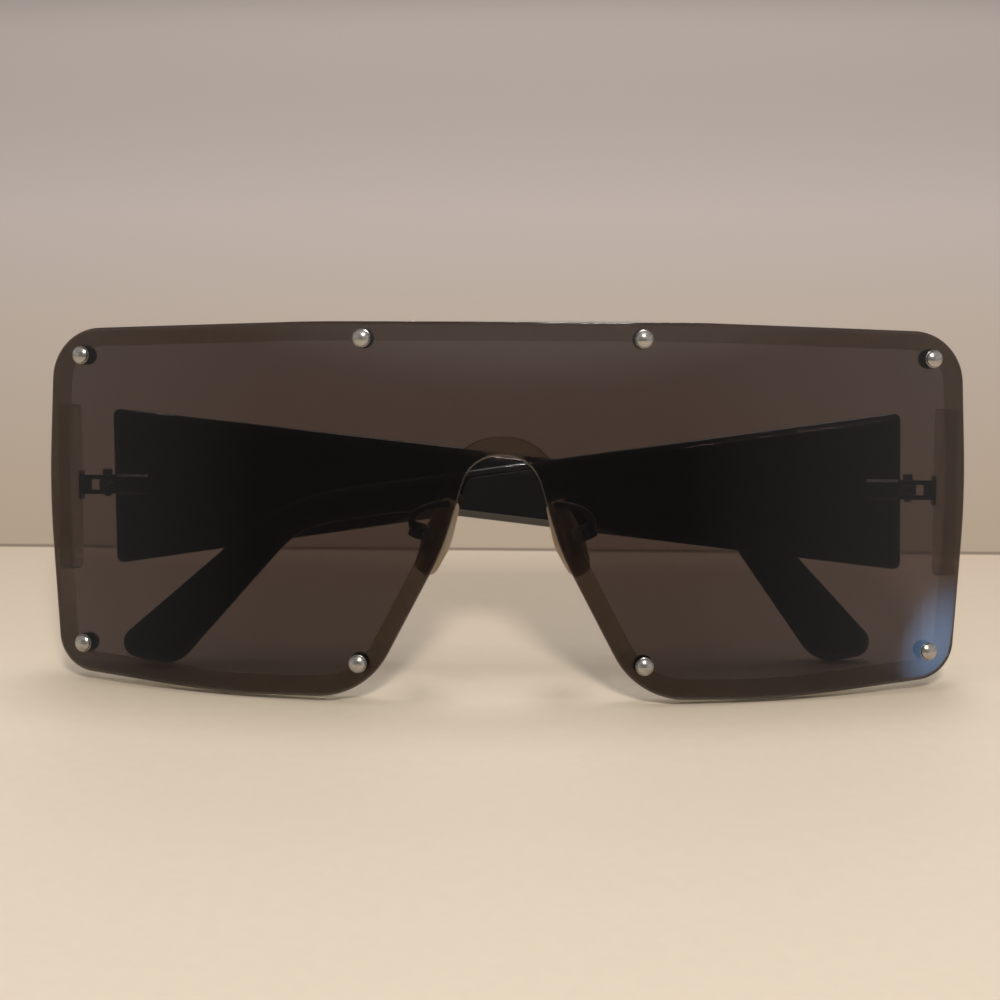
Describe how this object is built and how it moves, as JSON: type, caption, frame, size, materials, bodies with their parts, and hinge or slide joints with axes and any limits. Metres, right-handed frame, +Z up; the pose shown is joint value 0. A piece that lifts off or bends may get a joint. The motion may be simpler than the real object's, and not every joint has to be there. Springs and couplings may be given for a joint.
{
  "type": "sunglasses",
  "caption": "Oversized sunglasses with a one-piece smoke shield lens riveted to a smoke-brown rear rim, wide sprung arms that fold across each other, and rocking nose pads.",
  "frame": {"origin": "on the floor under the middle of the folded pair, as it stands on the lower edge of the lens and the two arm tips", "axes": "+X to the wearer's left, +Y rearward from the lens to the folded arms, +Z up"},
  "size_m": [0.1484, 0.0287, 0.0595],
  "materials": {
    "smoke_lens": "glossy",
    "smoke_rim": "satin",
    "steel": "satin",
    "hinge_metal": "satin",
    "black_arm": "glossy",
    "pad_silicone": "satin",
    "pad_core": "satin"
  },
  "bodies": {
    "front": {"shield_lens": "smoke_lens", "rear_rim": "smoke_rim", "lens_rivets": "steel", "rivet_washers": "steel", "left_end_piece": "smoke_rim", "left_hinge_fork": "hinge_metal", "left_hinge_screw": "steel", "left_pad_arm": "steel", "left_pad_screw": "steel", "right_end_piece": "smoke_rim", "right_hinge_fork": "hinge_metal", "right_hinge_screw": "steel", "right_pad_arm": "steel", "right_pad_screw": "steel"},
    "left_knuckle": {"left_hinge_knuckle": "steel", "left_rod_stop": "steel"},
    "left_temple": {"left_arm": "black_arm", "left_spring_box": "hinge_metal", "left_hinge_spring": "steel"},
    "left_pad": {"left_nose_pad": "pad_silicone", "left_pad_plate": "pad_core"},
    "right_knuckle": {"right_hinge_knuckle": "steel", "right_rod_stop": "steel"},
    "right_temple": {"right_arm": "black_arm", "right_spring_box": "hinge_metal", "right_hinge_spring": "steel"},
    "right_pad": {"right_nose_pad": "pad_silicone", "right_pad_plate": "pad_core"}
  },
  "joints": [
    {"name": "right_hinge", "type": "hinge", "parent": "front", "child": "right_knuckle", "pos_m": [-0.0661, 0.00828, 0.02956], "axis": [0, 0.225, 0.9744], "range_deg": [0, 104]},
    {"name": "right_slide", "type": "slide", "parent": "right_knuckle", "child": "right_temple", "axis": [0.9998, 0.0175, -0.004], "range_m": [0, 0.0008], "stiffness_N_per_m": 1500, "springref_m": -0.0008, "deforming": ["right_hinge_spring"]},
    {"name": "right_pad_rock", "type": "hinge", "parent": "front", "child": "right_pad", "pos_m": [-0.01303, -0.00334, 0.02544], "axis": [-0.4947, 0.869, -0.0057], "range_deg": [-10, 10]},
    {"name": "left_hinge", "type": "hinge", "parent": "front", "child": "left_knuckle", "pos_m": [0.0661, 0.00828, 0.02956], "axis": [0, -0.225, -0.9744], "range_deg": [0, 104]},
    {"name": "left_slide", "type": "slide", "parent": "left_knuckle", "child": "left_temple", "axis": [-0.9998, -0.0175, 0.004], "range_m": [0, 0.0008], "stiffness_N_per_m": 1500, "springref_m": -0.0008, "deforming": ["left_hinge_spring"]},
    {"name": "left_pad_rock", "type": "hinge", "parent": "front", "child": "left_pad", "pos_m": [0.01303, -0.00334, 0.02544], "axis": [0.4947, 0.869, -0.0057], "range_deg": [-10, 10]}
  ]
}
